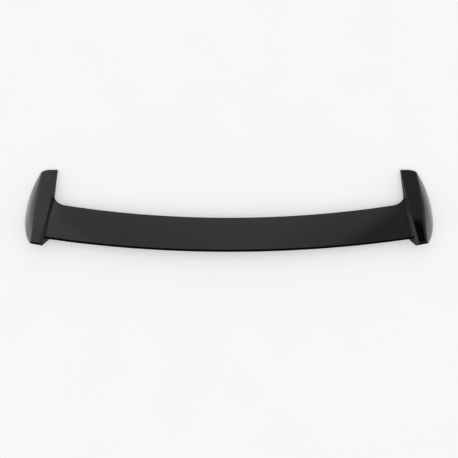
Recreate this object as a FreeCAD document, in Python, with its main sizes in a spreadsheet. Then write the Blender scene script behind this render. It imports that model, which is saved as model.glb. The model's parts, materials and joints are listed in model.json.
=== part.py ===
"""Rear spoiler: two hollow end fins joined by one bowed blade, with four threaded inserts in the fins.

Frame: X across the car, +Y towards its front, +Z up. Z = 0 is the plane of the fins' lower rims, which
rest on the tailgate, and the origin is the middle of the four fixing bolts. Millimetres and degrees.
"""
import FreeCAD, Part
import math
import os
import Sketcher

# Driving dimensions: name, value and what it sets
SIZES = [
    ("half_width", 600, "middle of the part to the widest point of a fin's rim"),
    ("fin_width", 81, "that point to the fin's inner wall"),
    ("tip_y", 139, "front end of the fins"),
    ("lip_y", -134, "rear end of a fin's top, at its inner corner"),
    ("lip_sweep", 0.2, "how far the lip comes forward for each mm outwards"),
    ("lip_height", 74.5, "height of a fin at its rear lip"),
    ("tip_height", 6, "height of a fin at its front tip"),
    ("heel_y", -88, "rear end of the rim, at its inner corner"),
    ("lip_overrun", 12, "how far the fin's loft runs past the lip before its rear is cut"),
    ("crease_in_tip", 34, "widest point to the crease between top and skirt, at the front tip"),
    ("crease_in_lip", 49, "widest point to that crease, at the rear lip"),
    ("tip_skirt", 1.2, "how far the rim stands outside the crease at the tip"),
    ("lip_skirt", 6, "how far the rim's line passes outside the crease at the lip"),
    ("widest_y", -10, "station where the rim is widest"),
    ("skirt_radius", 85, "roundness of the skirt from the crease to the rim"),
    ("tip_corner_radius", 42, "plan rounding of the tip's outer corner"),
    ("facet_front_y", 0, "front end of the facet along the fin's inner top edge"),
    ("facet_rear", 9, "size of that facet at the rear lip"),
    ("edge_radius", 1.5, "rounding of the lip and of the blade's rear bevel"),
    ("root_y", 10, "where the line of the blade's nose meets a fin's wall"),
    ("root_height", 23.5, "height of the blade's top there"),
    ("nose_depth", 9, "thickness of the blade at the nose"),
    ("nose_radius", 4, "rounding of the nose"),
    ("corner_radius", 50, "plan rounding where the leading edge runs into a fin"),
    ("blade_chord", 111.9, "nose to the rear bevel's upper edge, front to back"),
    ("blade_rise", 30, "climb of the top over that chord"),
    ("blade_top_radius", 900, "roundness of the blade's top, front to back"),
    ("bevel_run", 5.5, "rear bevel of the blade and of the fins, front to back"),
    ("bevel_drop", 6, "that bevel's height"),
    ("tail_depth", 10.5, "thickness of the blade at the bevel"),
    ("blade_radius", 2750, "radius of the blade's sweep, at the nose"),
    ("nose_bow_radius", 2500, "plan radius of the leading edge"),
    ("blade_tilt", 14.6, "tilt of the bow's axis, which gives the blade its crown"),
    ("blade_root", 14, "how far the blade's nose is carried on inside a fin"),
    ("window_margin", 0.25, "how far the gap between the fins is cut into their walls"),
    ("wall", 3.5, "thickness of a fin's walls"),
    ("crease_inset", 1, "how far the hollow keeps inside the crease"),
    ("roof", 4.5, "thickness of a fin's top"),
    ("cavity_rear_y", -64, "rear end of the hollow in a fin"),
    ("cavity_front_y", 112, "front end of the hollow in a fin"),
    ("bolt_in", 21, "a fin's inner wall to its bolts"),
    ("bolt_y", 50, "middle of the pattern to a bolt, front to back"),
    ("boss_d", 14, "outside of a boss"),
    ("insert_d", 8, "outside of a threaded insert, and its pocket in the boss"),
    ("insert_length", 12, "length of a threaded insert"),
    ("insert_flange_d", 10, "flange of a threaded insert"),
    ("insert_flange", 1, "thickness of that flange"),
    ("pocket_clear", 2, "free depth behind a threaded insert"),
    ("thread_d", 5, "bore of a threaded insert"),
    ("web", 2.5, "thickness of the web between the bosses of a fin"),
    ("web_lift", 4, "gap between that web and the rim plane"),
    ("rim_overrun", 1, "how far the fin and its hollow are drawn below the rim plane"),
    ("overrun", 30, "how far cutting shapes run past what they cut"),
]

# Places and radii that follow from those
DERIVED = {
    "half_gap": "half_width - fin_width",
    "crease_x_tip": "half_width - crease_in_tip",
    "crease_x_lip": "half_width - crease_in_lip",
    "tip_sag": "crease_in_tip - tip_skirt",
    "lip_sag": "crease_in_lip - lip_skirt",
    "rim_radius_front": "((tip_y - widest_y)^2 + tip_sag^2) / (2 * tip_sag)",
    "rim_radius_rear": "((widest_y - lip_y)^2 + lip_sag^2) / (2 * lip_sag)",
    "bow": "blade_radius - sqrt(blade_radius^2 - half_gap^2)",
    "nose_y": "root_y - bow * cos(blade_tilt)",
    "nose_top": "root_height + bow * sin(blade_tilt)",
    "bolt_x": "half_gap + bolt_in",
    "blade_end_x": "half_gap + blade_root",
}

doc = FreeCAD.newDocument("rear_spoiler")
sheet = doc.addObject("Spreadsheet::Sheet", "Sizes")
for row, (alias, number, meaning) in enumerate(SIZES, start=1):
    sheet.set(f"A{row}", meaning)
    sheet.set(f"B{row}", str(number))
    sheet.setAlias(f"B{row}", alias)
doc.recompute()


def size(text):
    """Expression text with each named size written as a cell of the sheet, or as what it follows from."""
    words = {alias for alias, _, _ in SIZES}
    out, word = "", ""
    for letter in text + " ":
        if letter.isalnum() or letter == "_":
            word += letter
            continue
        if word in DERIVED:
            word = size(DERIVED[word])
        elif word in words:
            word = "Sizes." + word
        out += word + letter
        word = ""
    return "(" + out.strip() + ")"


def value(text):
    """Number that an expression has now."""
    result = sheet.evalExpression(size(text))
    return float(getattr(result, "Value", result))


# Shapes that the fin's sections share, as expressions of a station y
def fin_height(y):
    return f"(tip_height + (lip_height - tip_height) * (tip_y - ({y})) / (tip_y - lip_y))"


def crease_x(y):
    return f"(crease_x_tip + (crease_x_lip - crease_x_tip) * (tip_y - ({y})) / (tip_y - lip_y))"


def rim_x(y):
    radius = "rim_radius_front" if value(y) > value("widest_y") else "rim_radius_rear"
    return f"(half_width - {radius} + sqrt({radius}^2 - (({y}) - widest_y)^2))"


def origin_plane(body, role):
    return next(item for item in body.Origin.OriginFeatures if item.Role == role)


def new_sketch(body, name, role, offset="0"):
    """Sketch on one of the body's origin planes, moved along the plane's normal."""
    sketch = body.newObject("Sketcher::SketchObject", name)
    sketch.AttachmentSupport = (origin_plane(body, role), [""])
    sketch.MapMode = "FlatFace"
    if offset != "0":
        sketch.setExpression("AttachmentOffset.Base.z", size(offset))
    return sketch


def bind(sketch, kind, *where, to):
    """Dimension of a sketch, tied to an expression."""
    index = sketch.addConstraint(Sketcher.Constraint(kind, *where, value(to)))
    sketch.setExpression(f"Constraints[{index}]", size(to))


def arc_between(start, end, radius):
    """Arc from start to end that turns left, as travelled."""
    chord = end - start
    middle = (start + end) * 0.5
    left = FreeCAD.Vector(-chord.y, chord.x, 0).normalize()
    centre = middle + left * math.sqrt(radius ** 2 - chord.Length ** 2 / 4)
    circle = Part.Circle(centre, FreeCAD.Vector(0, 0, 1), radius)
    angles = [math.atan2((point - centre).y, (point - centre).x) for point in (start, end)]
    return Part.ArcOfCircle(circle, *angles)


def outline(sketch, corners, arcs=None, hollow=()):
    """Closed outline through corners, given anticlockwise. arcs: number of an edge to its radius, and hollow
    names the edges whose arcs bend inwards."""
    arcs = arcs or {}
    first = sketch.GeometryCount
    points = [FreeCAD.Vector(value(x), value(y), 0) for x, y in corners]
    count = len(points)
    for edge, start in enumerate(points):
        end = points[(edge + 1) % count]
        if edge in hollow:
            sketch.addGeometry(arc_between(end, start, value(arcs[edge])))
        elif edge in arcs:
            sketch.addGeometry(arc_between(start, end, value(arcs[edge])))
        else:
            sketch.addGeometry(Part.LineSegment(start, end))
    for edge, (x, y) in enumerate(corners):
        head = 2 if edge in hollow else 1
        following = (edge + 1) % count
        next_head = 2 if following in hollow else 1
        sketch.addConstraint(
            Sketcher.Constraint("Coincident", first + edge, 3 - head, first + following, next_head))
        bind(sketch, "DistanceX", -1, 1, first + edge, head, to=x)
        bind(sketch, "DistanceY", -1, 1, first + edge, head, to=y)
    for edge, radius in arcs.items():
        bind(sketch, "Radius", first + edge, to=radius)


def feature(body, kind, name, profile, **properties):
    """PartDesign feature on a profile sketch, with its other properties set, brought up to date."""
    item = body.newObject("PartDesign::" + kind, name)
    item.Profile = profile
    for key, setting in properties.items():
        setattr(item, key, setting)
    doc.recompute()
    return item


def mirrored(body, name, originals):
    """The same features on the other side of the car's middle plane."""
    mirror = body.newObject("PartDesign::Mirrored", name)
    mirror.Originals = originals
    mirror.MirrorPlane = (origin_plane(body, "YZ_Plane"), [""])
    body.Tip = mirror
    doc.recompute()
    return mirror


# Spoiler body: one moulding
spoiler = doc.addObject("PartDesign::Body", "spoiler_body")
spoiler.Label = "spoiler_body"
spoiler.AllowCompound = True

# Fin on the +X side: a loft through sections across the car, from behind the lip to the tip
FIN_STATIONS = [
    "lip_y - lip_overrun",
    "lip_y + (widest_y - lip_y) / 3",
    "lip_y + (widest_y - lip_y) * 2 / 3",
    "widest_y",
    "widest_y + (tip_y - widest_y) / 3",
    "widest_y + (tip_y - widest_y) * 2 / 3",
    "tip_y",
]
fin_sections = []
for number, y in enumerate(FIN_STATIONS):
    section = new_sketch(spoiler, f"fin_section_{number}", "XZ_Plane", f"-({y})")
    outline(section, [
        ("half_gap", "-rim_overrun"),
        (rim_x(y), "-rim_overrun"),
        (crease_x(y), fin_height(y)),
        ("half_gap", fin_height(y)),
    ], {1: "skirt_radius"})
    fin_sections.append(section)
doc.recompute()
fin = feature(spoiler, "AdditiveLoft", "fin", fin_sections[0], Sections=fin_sections[1:])

# Flat rim, cut in the plane that the fin rests on
section = new_sketch(spoiler, "rim_outline", "XY_Plane")
outline(section, [
    ("half_gap - overrun", "lip_y - overrun"),
    ("half_width + overrun", "lip_y - overrun"),
    ("half_width + overrun", "tip_y + overrun"),
    ("half_gap - overrun", "tip_y + overrun"),
])
doc.recompute()
rim = feature(spoiler, "Pocket", "rim", section, Type="ThroughAll")

# Rounded outer corner of the tip, in plan
rim_sin = "((tip_y - widest_y) / rim_radius_front)"
rim_cos = "((rim_radius_front - tip_sag) / rim_radius_front)"
tip_tangent = f"tip_corner_radius * {rim_cos} / (1 + {rim_sin})"
corner_front = f"crease_x_tip + tip_skirt - {tip_tangent}"
corner_x = f"crease_x_tip + tip_skirt + {tip_tangent} * {rim_sin}"
corner_rear = f"tip_y - {tip_tangent} * {rim_cos}"
section = new_sketch(spoiler, "tip_corner_outline", "XY_Plane")
outline(section, [
    (corner_front, "tip_y"),
    (corner_x, corner_rear),
    (f"{corner_x} + overrun", corner_rear),
    (f"{corner_x} + overrun", "tip_y + overrun"),
    (corner_front, "tip_y + overrun"),
], {0: "tip_corner_radius"}, hollow=(0,))
doc.recompute()
tip_corner = feature(spoiler, "Pocket", "tip_corner", section, Type="ThroughAll", Midplane=True)

# Rear of the fin: a bevel below the lip, then an undercut that rakes forwards to the heel of the rim
rear_sections = []
low_lip = "lip_y - bevel_run"
low_lip_z = "lip_height - bevel_drop"
for number, x in enumerate(("half_gap - overrun", "half_width + overrun")):
    swept = f"lip_sweep * ({x} - half_gap)"
    section = new_sketch(spoiler, f"rear_section_{number}", "YZ_Plane", x)
    outline(section, [
        (f"{low_lip} - overrun", "-overrun"),
        (f"heel_y + {swept} + (heel_y - ({low_lip})) * overrun / ({low_lip_z})", "-overrun"),
        (f"{low_lip} + {swept}", low_lip_z),
        (f"lip_y + {swept} + bevel_run * overrun / bevel_drop", "lip_height + overrun"),
        (f"{low_lip} - overrun", "lip_height + overrun"),
    ])
    rear_sections.append(section)
doc.recompute()
rear_face = feature(
    spoiler, "SubtractiveLoft", "rear_face", rear_sections[0], Sections=rear_sections[1:], Ruled=True)

# Facet along the fin's inner top edge: it starts at nothing beside the leading edge and grows to the lip
facet_sections = []
for number, y in enumerate(("lip_y - overrun", "facet_front_y + overrun")):
    depth = f"facet_rear * (facet_front_y - ({y})) / (facet_front_y - lip_y)"
    section = new_sketch(spoiler, f"facet_section_{number}", "XZ_Plane", f"-({y})")
    outline(section, [
        ("half_gap - overrun", f"{fin_height(y)} - {depth} - overrun"),
        (f"half_gap + {depth} + overrun", f"{fin_height(y)} + overrun"),
        ("half_gap - overrun", f"{fin_height(y)} + overrun"),
    ])
    facet_sections.append(section)
doc.recompute()
facet = feature(
    spoiler, "SubtractiveLoft", "facet", facet_sections[0], Sections=facet_sections[1:], Ruled=True)

mirrored(spoiler, "fins", [fin, rim, tip_corner, rear_face, facet])

# Blade: a section in the middle plane, turned about a far axis that lies ahead and tilts, so that the ends
# come forward (the bow) and down (the crown)
section = new_sketch(spoiler, "blade_section", "YZ_Plane")
slope = "blade_rise / blade_chord"
front_y = "nose_y + corner_radius"
front_top = f"nose_top - corner_radius * {slope}"
bevel_y = "nose_y - blade_chord"
bevel_top = "nose_top + blade_rise"
outline(section, [
    (front_y, f"{front_top} - nose_depth"),
    (front_y, front_top),
    (bevel_y, bevel_top),
    (f"{bevel_y} - bevel_run", f"{bevel_top} - bevel_drop"),
    (bevel_y, f"{bevel_top} - tail_depth"),
], {1: "blade_top_radius"})
axis_ends = [
    ("nose_y + blade_radius * cos(blade_tilt)", "nose_top - blade_radius * sin(blade_tilt)"),
    ("nose_y + blade_radius * cos(blade_tilt) + overrun * sin(blade_tilt)",
     "nose_top - blade_radius * sin(blade_tilt) + overrun * cos(blade_tilt)"),
]
axis_points = [FreeCAD.Vector(value(y), value(z), 0) for y, z in axis_ends]
axis = section.addGeometry(Part.LineSegment(*axis_points), True)
for end, (y, z) in enumerate(axis_ends, start=1):
    bind(section, "DistanceX", -1, 1, axis, end, to=y)
    bind(section, "DistanceY", -1, 1, axis, end, to=z)
doc.recompute()
blade = feature(spoiler, "Revolution", "blade", section, ReferenceAxis=(section, ["Axis0"]), Midplane=True)
blade.setExpression("Angle", size("2 * asin(blade_end_x / blade_radius)"))
doc.recompute()

# Gap between the fins ahead of the blade: it gives the leading edge its line and its rounded ends
window = new_sketch(spoiler, "window_outline", "XY_Plane")
wall_x = "half_gap + window_margin"
window_end = "tip_y + overrun"
bow_centre = "nose_y + nose_bow_radius"
corner_y = f"{bow_centre} - sqrt((nose_bow_radius - corner_radius)^2 - ({wall_x} - corner_radius)^2)"
corner = FreeCAD.Vector(value(f"{wall_x} - corner_radius"), value(corner_y), 0)
middle = FreeCAD.Vector(0, value(bow_centre), 0)
touch = middle + (corner - middle).normalize() * value("nose_bow_radius")
side = FreeCAD.Vector(value(wall_x), corner.y, 0)
top = FreeCAD.Vector(value(wall_x), value(window_end), 0)
left = [FreeCAD.Vector(-point.x, point.y, 0) for point in (top, side, touch)]
window.addGeometry([
    Part.LineSegment(left[0], left[1]),
    arc_between(left[1], left[2], value("corner_radius")),
    arc_between(left[2], touch, value("nose_bow_radius")),
    arc_between(touch, side, value("corner_radius")),
    Part.LineSegment(side, top),
    Part.LineSegment(top, left[0]),
])
for edge in range(4):
    window.addConstraint(Sketcher.Constraint("Tangent", edge, 2, edge + 1, 1))
window.addConstraint(Sketcher.Constraint("Coincident", 4, 2, 5, 1))
window.addConstraint(Sketcher.Constraint("Coincident", 5, 2, 0, 1))
window.addConstraint(Sketcher.Constraint("Vertical", 4))
window.addConstraint(Sketcher.Constraint("Symmetric", 0, 1, 4, 2, -2))
window.addConstraint(Sketcher.Constraint("Vertical", 0))
window.addConstraint(Sketcher.Constraint("PointOnObject", 2, 3, -2))
bind(window, "DistanceX", -1, 1, 4, 2, to=wall_x)
bind(window, "DistanceY", -1, 1, 4, 2, to=window_end)
bind(window, "DistanceY", -1, 1, 2, 3, to=bow_centre)
bind(window, "Radius", 2, to="nose_bow_radius")
bind(window, "Radius", 1, to="corner_radius")
bind(window, "Radius", 3, to="corner_radius")
doc.recompute()
leading_edge = feature(spoiler, "Pocket", "leading_edge", window, Type="ThroughAll", Midplane=True)


def edges_at(item, places, highest=True):
    """Names of a feature's edges whose middles lie at the given places in plan, on both sides of the car."""
    names = set()
    for x, y in places:
        for side in (1, -1):
            spot = FreeCAD.Vector(side * value(x), value(y), 0)
            found = []
            for number, edge in enumerate(item.Shape.Edges, start=1):
                middle = edge.valueAt((edge.FirstParameter + edge.LastParameter) / 2)
                away = round(math.hypot(middle.x - spot.x, middle.y - spot.y))
                found.append((away, -middle.z if highest else middle.z, f"Edge{number}"))
            names.add(min(found)[2])
    return sorted(names)


def rounded(body, name, base, edges, radius):
    """Rounded edges, with the radius tied to the sheet."""
    item = body.newObject("PartDesign::Fillet", name)
    item.Base = (base, edges)
    item.setExpression("Radius", size(radius))
    doc.recompute()
    return item


# Rounded edges of the nose, of the bevel behind, and of the fins' lips
flare = ("half_gap - corner_radius * (1 - cos(45))", f"{corner_y} - corner_radius * sin(45)")
nose = [("0", "nose_y"), flare]
nose_over = rounded(spoiler, "nose_over", leading_edge, edges_at(leading_edge, nose), "nose_radius")
nose_under = rounded(spoiler, "nose_under", nose_over, edges_at(nose_over, nose, False), "nose_radius")
sharp_edges = [
    ("0", bevel_y),
    ("0", f"{bevel_y} - bevel_run"),
    ("(half_gap + facet_rear + crease_x_lip) / 2",
     "lip_y + lip_sweep * (facet_rear + crease_x_lip - half_gap) / 2"),
]
rounded(spoiler, "rear_rounds", nose_under, edges_at(nose_under, sharp_edges), "edge_radius")

# Hollow of the fin, open at the rim
CAVITY_STATIONS = [
    "cavity_rear_y",
    "cavity_rear_y + (widest_y - cavity_rear_y) / 2",
    "widest_y",
    "widest_y + (cavity_front_y - widest_y) / 2",
    "cavity_front_y",
]
cavity_sections = []
for number, y in enumerate(CAVITY_STATIONS):
    section = new_sketch(spoiler, f"cavity_section_{number}", "XZ_Plane", f"-({y})")
    ceiling = f"{fin_height(y)} - roof"
    outline(section, [
        ("half_gap + wall", "-rim_overrun"),
        (f"{rim_x(y)} - wall", "-rim_overrun"),
        (f"{crease_x(y)} - crease_inset", ceiling),
        ("half_gap + wall", ceiling),
    ], {1: "skirt_radius - wall"})
    cavity_sections.append(section)
doc.recompute()
cavity = feature(spoiler, "SubtractiveLoft", "cavity", cavity_sections[0], Sections=cavity_sections[1:])


def rounds(sketch, diameter, ys):
    """Circles of one diameter on the bolt line of the +X fin."""
    for y in ys:
        centre = FreeCAD.Vector(value("bolt_x"), value(y), 0)
        circle = Part.Circle(centre, FreeCAD.Vector(0, 0, 1), value(diameter) / 2)
        index = sketch.addGeometry(circle)
        bind(sketch, "DistanceX", -1, 1, index, 3, to="bolt_x")
        bind(sketch, "DistanceY", -1, 1, index, 3, to=y)
        bind(sketch, "Diameter", index, to=diameter)


def length(item, text):
    """Length of a pad or pocket, tied to an expression."""
    item.setExpression("Length", size(text))
    doc.recompute()


# Bosses for the inserts, up into the middle of the fin's top, with a web between them
BOLT_YS = {"front": "bolt_y", "rear": "-bolt_y"}
bosses = []
for place, y in BOLT_YS.items():
    sketch = new_sketch(spoiler, f"{place}_boss_outline", "XY_Plane")
    rounds(sketch, "boss_d", [y])
    boss = feature(spoiler, "Pad", f"{place}_boss", sketch)
    length(boss, f"{fin_height(y)} - roof / 2")
    bosses.append(boss)
sketch = new_sketch(spoiler, "web_outline", "XY_Plane", "web_lift")
outline(sketch, [
    ("bolt_x - web / 2", "-bolt_y"),
    ("bolt_x + web / 2", "-bolt_y"),
    ("bolt_x + web / 2", "bolt_y"),
    ("bolt_x - web / 2", "bolt_y"),
])
web = feature(spoiler, "Pad", "web", sketch)
length(web, f"{fin_height('bolt_y')} - roof / 2 - web_lift")

# Pockets for the inserts and their flanges
pockets = []
for name, diameter, depth in (
    ("insert_pocket", "insert_d", "insert_length + pocket_clear"),
    ("flange_recess", "insert_flange_d", "insert_flange"),
):
    sketch = new_sketch(spoiler, name + "_outline", "XY_Plane")
    rounds(sketch, diameter, BOLT_YS.values())
    pocket = feature(spoiler, "Pocket", name, sketch, Reversed=True)
    length(pocket, depth)
    pockets.append(pocket)
mirrored(spoiler, "hollows", [cavity, *bosses, web, *pockets])

# Threaded inserts: four turned bushes with a flange, seated in the bosses from below
inserts = doc.addObject("PartDesign::Body", "threaded_inserts")
inserts.Label = "threaded_inserts"
inserts.AllowCompound = True
bushes = []
for name, diameter, depth in (
    ("bush", "insert_d", "insert_length"),
    ("flange", "insert_flange_d", "insert_flange"),
):
    sketch = new_sketch(inserts, name + "_outline", "XY_Plane")
    rounds(sketch, diameter, BOLT_YS.values())
    rounds(sketch, "thread_d", BOLT_YS.values())
    bush = feature(inserts, "Pad", name, sketch)
    length(bush, depth)
    bushes.append(bush)
mirrored(inserts, "four_inserts", bushes)

if __name__ == "__main__":
    for item in doc.Objects:
        if "Invalid" in item.State or "Error" in item.State:
            raise RuntimeError(f"{item.Name} failed: {item.State}")
    os.makedirs("parts", exist_ok=True)
    for body in (spoiler, inserts):
        if body.Shape.isNull() or not body.Shape.isValid():
            raise RuntimeError(f"{body.Label} is not a valid solid")
        body.Shape.exportStep(f"parts/{body.Label}.step")
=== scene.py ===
# %% [markdown]
# # Rear spoiler in gloss black
# The object is one moulding: two wedge-shaped end fins with a thin bowed blade between them. It arrives
# here as a CAD part, exact but with facets that a gloss finish would show. So the body is built again as a
# smooth mesh of the same form, with the small roundings that a mould leaves, and then painted, lit and
# photographed.

# %% Load the CAD part
import json
import math

import bmesh
import bpy
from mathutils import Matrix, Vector

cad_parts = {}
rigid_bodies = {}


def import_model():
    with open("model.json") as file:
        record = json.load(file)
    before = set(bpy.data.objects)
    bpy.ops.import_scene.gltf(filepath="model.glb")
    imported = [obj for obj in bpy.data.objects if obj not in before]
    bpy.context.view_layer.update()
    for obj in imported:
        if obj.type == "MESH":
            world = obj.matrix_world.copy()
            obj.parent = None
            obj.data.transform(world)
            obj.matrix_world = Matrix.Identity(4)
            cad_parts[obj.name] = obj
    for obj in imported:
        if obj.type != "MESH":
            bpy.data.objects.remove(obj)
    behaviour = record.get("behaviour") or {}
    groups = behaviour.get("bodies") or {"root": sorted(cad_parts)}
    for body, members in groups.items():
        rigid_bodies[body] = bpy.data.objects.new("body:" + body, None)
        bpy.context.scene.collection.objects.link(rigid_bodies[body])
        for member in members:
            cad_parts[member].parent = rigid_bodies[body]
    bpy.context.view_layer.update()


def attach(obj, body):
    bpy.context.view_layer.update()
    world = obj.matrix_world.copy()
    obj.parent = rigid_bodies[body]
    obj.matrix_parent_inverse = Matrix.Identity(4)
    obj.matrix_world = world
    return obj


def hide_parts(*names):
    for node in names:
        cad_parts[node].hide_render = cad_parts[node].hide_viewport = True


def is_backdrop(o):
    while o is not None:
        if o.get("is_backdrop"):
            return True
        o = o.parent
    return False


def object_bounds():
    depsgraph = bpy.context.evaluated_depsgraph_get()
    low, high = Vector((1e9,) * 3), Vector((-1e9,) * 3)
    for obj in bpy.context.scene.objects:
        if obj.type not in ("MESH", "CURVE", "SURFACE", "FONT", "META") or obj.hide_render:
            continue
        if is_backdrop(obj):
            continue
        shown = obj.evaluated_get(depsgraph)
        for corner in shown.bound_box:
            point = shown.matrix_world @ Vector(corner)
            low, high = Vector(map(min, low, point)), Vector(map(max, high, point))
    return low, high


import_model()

# %% [markdown]
# ## Sizes
# These are the sizes of the CAD part, in millimetres. X runs across the car, +Y to its front, Z up from the
# plane of the fins' rims. Only the half width and the blade's chord are a fraction of a millimetre smaller,
# so that the smooth mesh stays inside the solid's box. A mesh could also be traced from the CAD facets, but
# then no edge could be rounded freely. With the sizes at hand each surface follows the rule that made it.

# %% Sizes of the fins and of the blade
MM = 0.001
HALF_WIDTH = 599.8
HALF_GAP = 519.0
TIP_Y, TIP_HEIGHT = 139.0, 6.0
LIP_Y, LIP_HEIGHT, LIP_SWEEP = -134.0, 74.5, 0.2
BEVEL_RUN, BEVEL_DROP = 5.5, 6.0
HEEL_Y = -88.0
CREASE_TIP, CREASE_LIP = 566.0, 551.0
RIM_TIP, RIM_LIP = 567.2, 557.0
WIDEST_Y = -10.0
SKIRT_RADIUS = 85.0
TIP_CORNER = 42.0
FACET_REAR = 9.0
NOSE_Y, NOSE_TOP, NOSE_DEPTH, NOSE_RADIUS = -37.83, 35.96, 9.0, 4.0
BLADE_CHORD, BLADE_RISE, BLADE_TOP_RADIUS, TAIL_DEPTH = 111.85, 30.0, 900.0, 10.5
BLADE_RADIUS, BOW_RADIUS, CORNER_RADIUS = 2750.0, 2500.0, 50.0
BLADE_TILT = math.radians(14.6)
print("blade", round(2 * HALF_GAP), "mm between the fins")

# %% [markdown]
# ## Section of the blade
# Seen from the end, the blade is a thin wing: a rounded nose, a slightly crowned top that climbs to the
# rear, a small bevel behind and a flat underside. A curve object with bevelled corners could hold this
# outline. Here it is laid down as points, with an arc in each corner, because the node tree below needs to
# know each point.

# %% Outline with rounded corners


def rounded_outline(corners, steps=6):
    """Closed outline through (y, z, radius) corners, with an arc of that radius in each."""
    points = []
    count = len(corners)
    for number, (y, z, radius) in enumerate(corners):
        here = Vector((y, z))
        back = Vector(corners[number - 1][:2]) - here
        ahead = Vector(corners[(number + 1) % count][:2]) - here
        if radius == 0:
            points.append(here)
            continue
        back.normalize()
        ahead.normalize()
        half = back.angle(ahead) / 2
        middle = here + (back + ahead).normalized() * radius / math.sin(half)
        start = here + back * radius / math.tan(half) - middle
        end = here + ahead * radius / math.tan(half) - middle
        turn = start.angle_signed(end)
        for step in range(steps + 1):
            spin = -turn * step / steps
            points.append(middle + Vector((
                start.x * math.cos(spin) - start.y * math.sin(spin),
                start.x * math.sin(spin) + start.y * math.cos(spin))))
    return points


square = rounded_outline([(0, 0, 1), (0, 9, 1), (9, 9, 1), (9, 0, 1)])
print("a square with four rounded corners has", len(square), "points")

# %% [markdown]
# The top is an arc through the ends of the chord and the underside is straight, as in the CAD part. Points
# are set closely along the top, where the gloss shows every kink, and more thinly below.

# %% Points of the blade's section
slope = BLADE_RISE / BLADE_CHORD
front = Vector((NOSE_Y + CORNER_RADIUS, NOSE_TOP - CORNER_RADIUS * slope))
tail = Vector((NOSE_Y - BLADE_CHORD, NOSE_TOP + BLADE_RISE))
chord = tail - front
below = Vector((-chord.y, chord.x)).normalized()
crown_centre = (front + tail) / 2 + below * math.sqrt(BLADE_TOP_RADIUS ** 2 - chord.length ** 2 / 4)


def top_z(y):
    """Height of the blade's top in its middle section."""
    return crown_centre.y + math.sqrt(BLADE_TOP_RADIUS ** 2 - (y - crown_centre.x) ** 2)


under_slope = (tail.y - TAIL_DEPTH - front.y + NOSE_DEPTH) / (front.x - tail.x)


def under_z(y):
    """Height of the blade's underside in its middle section."""
    return front.y - NOSE_DEPTH + (front.x - y) * under_slope


TOP_POINTS, UNDER_POINTS = 21, 13
EDGE_RADIUS, LOWER_EDGE_RADIUS = 1.5, 0.8
NOSE_CLEAR, TAIL_CLEAR = 1.0, 3.0
first_y = NOSE_Y - NOSE_RADIUS - NOSE_CLEAR
last_y = tail.x + TAIL_CLEAR
corners = [(NOSE_Y, under_z(NOSE_Y), NOSE_RADIUS), (NOSE_Y, top_z(NOSE_Y), NOSE_RADIUS)]
for step in range(TOP_POINTS):
    y = first_y + (last_y - first_y) * step / (TOP_POINTS - 1)
    corners.append((y, top_z(y), 0))
corners.append((tail.x, tail.y, EDGE_RADIUS))
corners.append((tail.x - BEVEL_RUN, tail.y - BEVEL_DROP, EDGE_RADIUS))
corners.append((tail.x, tail.y - TAIL_DEPTH, LOWER_EDGE_RADIUS))
for step in range(UNDER_POINTS):
    y = last_y + (first_y - last_y) * step / (UNDER_POINTS - 1)
    corners.append((y, under_z(y), 0))
section = rounded_outline(corners)
print("section of the blade:", len(section), "points")

# %% [markdown]
# ## Points that carry values
# Geometry Nodes can look up any point of another object, together with named values on it. So the section
# becomes an object of bare points, and each point keeps three values: the outward direction, the slope
# along which the nose may be drawn forward, and how strongly the point joins in the fillet at the fin's
# wall. The values could be typed into the tree, but then they would be lost among the nodes.

# %% Section as an object of points
SECTION_FILLET_RUN = 70.0


def point_object(name, points, **values):
    """Mesh object of bare points, with named values on them."""
    mesh = bpy.data.meshes.new(name)
    mesh.from_pydata(points, [], [])
    for key, numbers in values.items():
        if isinstance(numbers[0], float):
            mesh.attributes.new(key, "FLOAT", "POINT").data.foreach_set("value", numbers)
        else:
            flat = [number for vector in numbers for number in vector]
            mesh.attributes.new(key, "FLOAT_VECTOR", "POINT").data.foreach_set("vector", flat)
    item = bpy.data.objects.new(name, mesh)
    bpy.context.scene.collection.objects.link(item)
    return item


outward, drawn, joins = [], [], []
top_slope = (top_z(NOSE_Y) - front.y) / CORNER_RADIUS
for number, point in enumerate(section):
    along = section[(number + 1) % len(section)] - section[number - 1]
    side = Vector((along.y, -along.x)).normalized()
    outward.append((0.0, side.x, side.y))
    share = (point.y - under_z(NOSE_Y)) / (top_z(NOSE_Y) - under_z(NOSE_Y))
    ahead = point.x > NOSE_Y - NOSE_RADIUS
    share = min(max(share, 0.0), 1.0) if ahead else float(point.y > (top_z(point.x) + under_z(point.x)) / 2)
    drawn.append(under_slope + (top_slope - under_slope) * share)
    joins.append(min(max((NOSE_Y - point.x) / SECTION_FILLET_RUN, 0.0), 1.0))
section_points = point_object(
    "section_points", [(0.0, p.x * MM, p.y * MM) for p in section], outward=outward, drawn=drawn, joins=joins)
print("section:", len(section_points.data.vertices), "points, each with a direction, a slope and a share")

# %% [markdown]
# Seen from above, the blade's leading edge is one long bow that sweeps forward into each fin through a
# rounded corner. It is an arc with a smaller arc at each end, so stations along it follow from two radii.

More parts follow.
